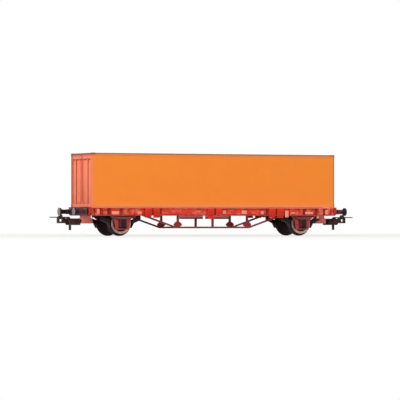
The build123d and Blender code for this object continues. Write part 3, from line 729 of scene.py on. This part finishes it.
def guard_pieces(end_name, end):
    """Bolts and stiffeners on the axle guards, and the axle boxes' round covers."""
    bolts = Shape()
    covers = Shape()
    axle = end * AXLE_X
    shoulder = BOX_Y - SHOULDER_DEPTH
    for side in SIDES.values():
        for leg in (-1, 1):
            for away, z in GUARD_BOLTS:
                bolts.rivet((axle + leg * away, side * GUARD_Y, z), side, 0.22)
            x = axle + leg * BOX_BOLT_X
            near, far = across(side, shoulder - SINK, shoulder + 0.2)
            for z in around(AXLE_Z, BOX_BOLT_Z):
                covers.bar((x, near, z), (x, far, z), 0.22, 0.05, 6)
        bolts.block(around(axle, STIFFENER_LENGTH / 2), across(side, GUARD_Y - 0.02, GUARD_Y + 0.22),
                    (GUARD_LOW + 0.05, GUARD_LOW + 0.45), 0.06)
        near, far = across(side, BOX_Y - 0.02, BOX_Y + 0.25)
        covers.bar((axle, near, AXLE_Z), (axle, far, AXLE_Z), COVER_RADIUS, 0.15, 24)
    bolts.build(f"guard_bolts_{end_name}", guard_red, "chassis_red", "wagon")
    covers.build(f"box_covers_{end_name}", black, "black_plastic", "wagon")


# The leaf springs: their leaves, the buckle on the axle box, and the shackles at both ends
LEAF_HALF_LENGTHS = (6.2, 5.4, 4.3, 3.2, 2.2)
LEAF_SPACING = 0.2
LEAF_THICK = 0.17
LEAF_NEAR = 12.3
LEAF_FAR = 13.2
LEAF_STEPS = 8
SPRING_TOP = 9.6
SPRING_RISE = 0.5
SPRING_REACH = 6.0
BUCKLE_WIDTH = 1.6
SHACKLE_X = 6.45
SHACKLE_Z = 9.85
SHACKLE_WIDTH = 0.5
SHACKLE_PIN_RADIUS = 0.34


def leaf_height(x):
    """Height of the top leaf, which rises by SPRING_RISE over SPRING_REACH from the axle."""
    return SPRING_TOP + SPRING_RISE * (x / SPRING_REACH) ** 2


def spring_pieces(end_name, end):
    """Leaf springs with separate leaves, a buckle and the shackles at both ends."""
    leaves = Shape()
    axle = end * AXLE_X
    buckle_z = (BOX_HIGH, SPRING_TOP + 0.12)
    for side in SIDES.values():
        width = across(side, LEAF_NEAR, LEAF_FAR)
        for count, half in enumerate(LEAF_HALF_LENGTHS):
            places = [half * k / LEAF_STEPS for k in range(-LEAF_STEPS, LEAF_STEPS + 1)]
            points = [(axle + x, leaf_height(x) - LEAF_SPACING * count) for x in places]
            leaves.strip(points, width, LEAF_THICK, 0.03)
        buckle_y = across(side, LEAF_NEAR - 0.1, LEAF_FAR + 0.1)
        leaves.block(around(axle, BUCKLE_WIDTH / 2), buckle_y, buckle_z, 0.12)
        near, far = across(side, LEAF_NEAR - SINK, LEAF_FAR + SINK)
        for x in around(axle, SHACKLE_X):
            leaves.bar((x, near, SHACKLE_Z), (x, far, SHACKLE_Z), SHACKLE_PIN_RADIUS, 0.08, 16)
            leaves.block(around(x, SHACKLE_WIDTH / 2), across(side, LEAF_NEAR + 0.1, LEAF_FAR - 0.1),
                         (SHACKLE_Z - SINK, SILL_LOW), 0.08)
    name = f"spring_leaves_{end_name}"
    leaves.build(name, spring_red, "black_plastic", "wagon", f"leaf_springs_{end_name}")


# The collars on a buffer's base: start and end in front of its plate, radius, bevel. Then its plate
COLLARS = ((0.0, 0.75, 1.5, 0.18), (0.65, 2.35, 1.32, 0.1))
BASE_PLATE_THICK = 0.45
BASE_BOLT_SPACING = 2.6


def buffer_pieces(end_name, end):
    """Collars and bolts on the buffers' bases."""
    shape = Shape()
    base = HEADSTOCK_X + BASE_PLATE_THICK
    for side in SIDES.values():
        y = side * BUFFER_Y
        for start, stop, radius, bevel in COLLARS:
            near, far = across(end, base + start, base + stop)
            shape.bar((near, y, BUFFER_Z), (far, y, BUFFER_Z), radius, bevel, 28)
        near, far = across(end, base, base + 0.3)
        for bolt_y in around(y, BASE_BOLT_SPACING / 2):
            for z in around(BUFFER_Z, BASE_BOLT_SPACING / 2):
                shape.bar((near, bolt_y, z), (far, bolt_y, z), 0.26, 0.06, 6)
    shape.build(f"buffer_collars_{end_name}", buffer_black, "black_plastic", "wagon")


def bow_pieces(end_name, end):
    """Rivet heads where the coupler's bow turns."""
    shape = Shape()
    for side in SIDES.values():
        shape.rivet((end * BOW_X, side * BOW_Y, BOW_Z), side, 0.5)
    shape.build(f"bow_rivets_{end_name}", black, "black_plastic", f"{end_name}_bow")


# The two panels of a door leaf, across, and its two lock rods: place across, height of the handle
DOOR_PANELS = ((1.0, 6.9), (8.6, PANEL_Y))
LOCK_RODS = ((2.2, 22.35), (7.8, 20.45))
ROD_RADIUS = 0.2
HANDLE_HALF_WIDTH = 0.18

# Heights of the brackets, guides and cams along a lock rod
ROD_BRACKETS_Z = (17.3, 39.2)
ROD_GUIDES_Z = (24.6, 30.0, 35.4)
ROD_CAMS_Z = (16.2, 40.5)


def door_pieces():
    """Raised door panels, and round lock rods with their brackets, guides, handles and cams."""
    panels = Shape()
    locks = Shape()
    thick = (DOOR_X + SINK, DOOR_X - 0.13)
    for side in SIDES.values():
        for near, far in DOOR_PANELS:
            panels.block(thick, across(side, near, far), (PANEL_LOW, PANEL_HIGH), 0.09)
        for distance, handle in LOCK_RODS:
            x, y = DOOR_X - 0.28, side * distance
            locks.bar((x, y, ROD_LOW + 0.1), (x, y, ROD_HIGH - 0.1), ROD_RADIUS, 0.05, 14)
            for z in ROD_BRACKETS_Z:
                locks.block((DOOR_X, DOOR_X - 0.5), around(y, 0.42), around(z, 0.32), 0.1)
            for z in ROD_GUIDES_Z:
                locks.block((DOOR_X, DOOR_X - 0.42), around(y, 0.4), around(z, 0.22), 0.08)
            locks.block((DOOR_X - 0.1, DOOR_X - 0.48), across(side, distance - 0.3, distance + 2.3),
                        around(handle, HANDLE_HALF_WIDTH), 0.1)
            locks.block((DOOR_X, DOOR_X - 0.45), across(side, distance + 1.9, distance + 2.5),
                        (handle - 0.35, handle + 0.3), 0.1)
            for z in ROD_CAMS_Z:
                locks.block((DOOR_X - 0.4, DOOR_X - 0.57), around(y, 0.5), around(z, 0.35), 0.07)
    panels.build("door_panels", panel, "door_orange", "container")
    locks.build("lock_rods", rods, "door_orange", "container", "door_lock_rods")


# The roof's panels: how many, half their width, the rail past them at each end, and the groove between two
ROOF_PANELS = 12
ROOF_PANEL_HALF_WIDTH = 11.9
ROOF_RAIL = 1.5
ROOF_GROOVE = 0.5


def roof_pieces():
    """Shallow pressed panels between the roof's rails, with grooves between them."""
    shape = Shape()
    half = END_X - ROOF_RAIL
    step = 2 * half / ROOF_PANELS
    width = around(0.0, ROOF_PANEL_HALF_WIDTH)
    height = (ROOF_HIGH - 0.3, ROOF_HIGH - 0.13)
    for k in range(ROOF_PANELS):
        middle = (k + 0.5) * step - half
        shape.block(around(middle, (step - ROOF_GROOVE) / 2), width, height, 0.08)
    shape.build("roof_panels", orange, "container_orange", "container")


for side_name, side in SIDES.items():
    sill_pieces(side_name, side)
for end_name, end in ENDS.items():
    guard_pieces(end_name, end)
    spring_pieces(end_name, end)
    buffer_pieces(end_name, end)
    bow_pieces(end_name, end)
door_pieces()
roof_pieces()


# Stage, lamps and camera, in metres

# The camera is fitted to the container's corners in the photograph. Its lens and sensor are in millimetres
CAMERA_TURN = math.radians(24.85)
CAMERA_PLACE = (-0.6892, -1.4881, 0.0062)
CAMERA_LENS = 280.0
CAMERA_SENSOR = 36.0
CAMERA_SHIFT = (-0.01, 0.06)
CAMERA_REACH = (0.05, 20.0)

AMBIENT = 0.30
AMBIENT_COLOUR = (1.0, 0.985, 0.97)
FLOOR_SIZE = 8.0
FLOOR_COLOUR = (0.78, 0.77, 0.75)
# The floor glows this much under the wagon, and fully from this distance on
FLOOR_GLOW = 0.50
SHADOW_REACH = 0.5

# Square lamps: name, place, size, power in watts
LAMPS = (
    ("key", (-0.85, -0.75, 0.9), 0.6, 9.6),
    ("fill", (0.7, -0.95, 0.6), 0.7, 3.4),
    ("top", (0.0, 0.0, 1.1), 0.7, 1.6),
    ("rear", (0.3, 1.2, 0.45), 0.8, 6.2),
    ("door", (-1.3, -0.1, 0.45), 0.5, 3.4),
    ("low", (-0.2, -1.4, 0.06), 0.1, 1.0),
)
LAMP_TARGET = Vector((0, 0, 0.022))


def look_along(thing, direction):
    """Turns a lamp or a camera to look in this direction."""
    thing.rotation_euler = direction.to_track_quat("-Z", "Y").to_euler()


def make_lamp(name, place, size, power):
    """A square soft lamp that looks at the wagon."""
    data = bpy.data.lights.new(name, "AREA")
    data.size = size
    data.energy = power
    lamp = add_object(name, data)
    lamp.location = place
    look_along(lamp, LAMP_TARGET - Vector(place))


def seen_rays(tree):
    """1 for the rays that show the background, straight or mirrored."""
    path = tree.add("ShaderNodeLightPath")
    total = path.outputs["Is Camera Ray"]
    for name in ("Is Glossy Ray", "Is Transmission Ray"):
        total = tree.math("ADD", total, path.outputs[name], clamp=True)
    return total


def make_world():
    """A dim light from all round, behind a background that is seen as white."""
    world = bpy.data.worlds.new("studio")
    tree = Tree(world)
    light = tree.set(tree.add("ShaderNodeBackground"), Color=AMBIENT_COLOUR, Strength=AMBIENT)
    white = tree.set(tree.add("ShaderNodeBackground"), Color=(1.0, 1.0, 1.0), Strength=1.0)
    tree.mix_shaders(seen_rays(tree), light, white, "ShaderNodeOutputWorld")
    bpy.context.scene.world = world


def make_floor():
    """A pale floor that keeps the wagon's shadow near it and meets the white background further off."""
    mesh = bpy.data.meshes.new("floor")
    half = FLOOR_SIZE / 2
    corners = [(-half, -half, 0), (half, -half, 0), (half, half, 0), (-half, half, 0)]
    mesh.from_pydata(corners, [], [(0, 1, 2, 3)])
    floor = add_object("floor", mesh)
    material = bpy.data.materials.new("floor_white")
    tree = Tree(material)
    matte = tree.set(tree.add("ShaderNodeBsdfDiffuse"), Color=FLOOR_COLOUR)
    white = tree.add("ShaderNodeEmission")
    distance = tree.vector("LENGTH", tree.add("ShaderNodeTexCoord").outputs["Object"])
    fade = tree.ramp(distance, 0.0, SHADOW_REACH, FLOOR_GLOW, 1.0)
    tree.mix_shaders(tree.product(fade, seen_rays(tree)), matte, white, "ShaderNodeOutputMaterial")
    mesh.materials.append(material)


def make_camera():
    """The camera of the photograph."""
    data = bpy.data.cameras.new("camera")
    data.lens = CAMERA_LENS
    data.sensor_width = CAMERA_SENSOR
    data.shift_x, data.shift_y = CAMERA_SHIFT
    data.clip_start, data.clip_end = CAMERA_REACH
    camera = add_object("camera", data)
    camera.location = CAMERA_PLACE
    look_along(camera, Vector((math.sin(CAMERA_TURN), math.cos(CAMERA_TURN), 0)))
    bpy.context.scene.camera = camera


make_world()
make_floor()
for lamp_settings in LAMPS:
    make_lamp(*lamp_settings)
make_camera()
bpy.context.scene.view_settings.view_transform = "Standard"
